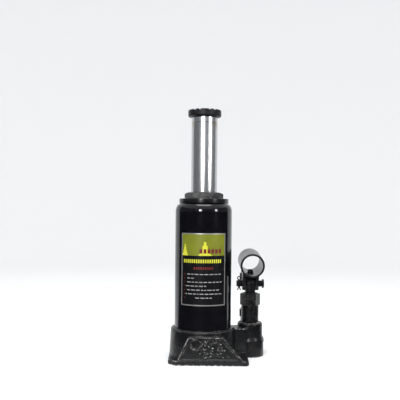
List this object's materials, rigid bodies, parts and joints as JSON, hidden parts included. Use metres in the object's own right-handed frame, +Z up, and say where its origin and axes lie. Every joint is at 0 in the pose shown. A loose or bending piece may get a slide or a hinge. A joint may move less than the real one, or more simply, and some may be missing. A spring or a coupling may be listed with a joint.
{
  "type": "hydraulic bottle jack",
  "caption": "Upright hydraulic bottle jack with an integral hand pump: cast base, round oil tank, chromed ram with a serrated saddle, and a tubular handle socket on a link.",
  "frame": {"origin": "on the underside of the base, on the axis of the ram", "axes": "+Z up along the ram, +X from the ram towards the hand pump, -Y the way the handle socket points"},
  "size_m": [0.1203, 0.0978, 0.3062],
  "materials": {
    "cast_iron": "rough cast iron under semi-gloss black paint",
    "black_enamel": "glossy black enamel",
    "black_steel": "satin black steel",
    "chrome": "hard chrome, ground and polished",
    "bright_steel": "machined steel",
    "bronze": "sintered bronze",
    "copper": "soft copper",
    "rubber": "matt black oil-proof rubber",
    "urethane": "red-brown urethane",
    "fibre": "pressed fibre gasket",
    "label": "printed foil"
  },
  "bodies": {
    "jack_body": {"base_casting": "cast_iron", "tank_shell": "black_enamel", "tank_base_gasket": "fibre", "filler_plug": "rubber", "data_label": "label", "top_cap": "black_enamel", "gland_nut": "cast_iron", "gland_guide_bush": "bronze", "ram_rod_seal": "urethane", "ram_wiper_ring": "rubber", "inner_cylinder": "bright_steel", "cylinder_base_washer": "copper", "pump_barrel": "cast_iron", "pump_barrel_washer": "copper", "pump_rod_seal": "urethane", "pump_wiper_ring": "rubber", "link_pin": "black_steel", "discharge_spring": "bright_steel", "passage_plug": "black_steel", "strainer_plug": "black_steel", "intake_strainer": "bronze", "release_ball": "bright_steel"},
    "ram": {"ram_rod": "chrome", "piston_head": "bright_steel", "piston_cup_seal": "urethane", "piston_cup_spreader": "bright_steel", "piston_retaining_nut": "bright_steel"},
    "screw": {"extension_screw": "bright_steel"},
    "saddle": {"saddle": "black_steel"},
    "plunger": {"pump_plunger": "black_steel", "plunger_cup_seal": "urethane"},
    "socket": {"socket_tube": "black_steel", "socket_ear_left": "black_steel", "socket_ear_right": "black_steel", "handle_stop_rivet": "black_steel", "plunger_pin": "black_steel", "plunger_cotter": "bright_steel", "fulcrum_pin": "black_steel"},
    "link": {"link_bar": "cast_iron"},
    "release_valve": {"release_valve_screw": "bright_steel", "release_valve_seal": "rubber"},
    "intake_ball": {"intake_ball": "bright_steel"},
    "discharge_ball": {"discharge_ball": "bright_steel"}
  },
  "joints": [
    {"name": "ram_lift", "type": "slide", "parent": "jack_body", "child": "ram", "axis": [0, 0, 1], "range_m": [-0.093, 0.032]},
    {"name": "screw_extend", "type": "slide", "parent": "ram", "child": "screw", "axis": [0, 0, 1], "range_m": [0, 0.06]},
    {"name": "saddle_turn", "type": "hinge", "parent": "screw", "child": "saddle", "pos_m": [0, 0, 0.3], "axis": [0, 0, 1], "continuous": true},
    {"name": "link_rock", "type": "hinge", "parent": "jack_body", "child": "link", "pos_m": [0.06, 0.04009, 0.05], "axis": [-1, 0, 0], "range_deg": [0, 1.2]},
    {"name": "handle_pump", "type": "hinge", "parent": "link", "child": "socket", "pos_m": [0.06, 0.04009, 0.09665], "axis": [-1, 0, 0], "range_deg": [0, 33]},
    {"name": "plunger_stroke", "type": "slide", "parent": "jack_body", "child": "plunger", "axis": [0, 0, 1], "range_m": [0, 0.0127]},
    {"name": "release_valve_turn", "type": "hinge", "parent": "jack_body", "child": "release_valve", "pos_m": [0.07, 0.043, 0.0145], "axis": [1, 0, 0], "range_deg": [0, 360]},
    {"name": "intake_ball_lift", "type": "slide", "parent": "jack_body", "child": "intake_ball", "axis": [0.9533, 0.3019, 0], "range_m": [0, 0.0012]},
    {"name": "discharge_ball_lift", "type": "slide", "parent": "jack_body", "child": "discharge_ball", "axis": [-0.9533, -0.3019, 0], "range_m": [0, 0.001], "stiffness_N_per_m": 200, "deforming": ["discharge_spring"]}
  ],
  "couplings": [
    {"joint": "plunger_stroke", "follows": "handle_pump", "m_per_rad": 0.0217}
  ]
}
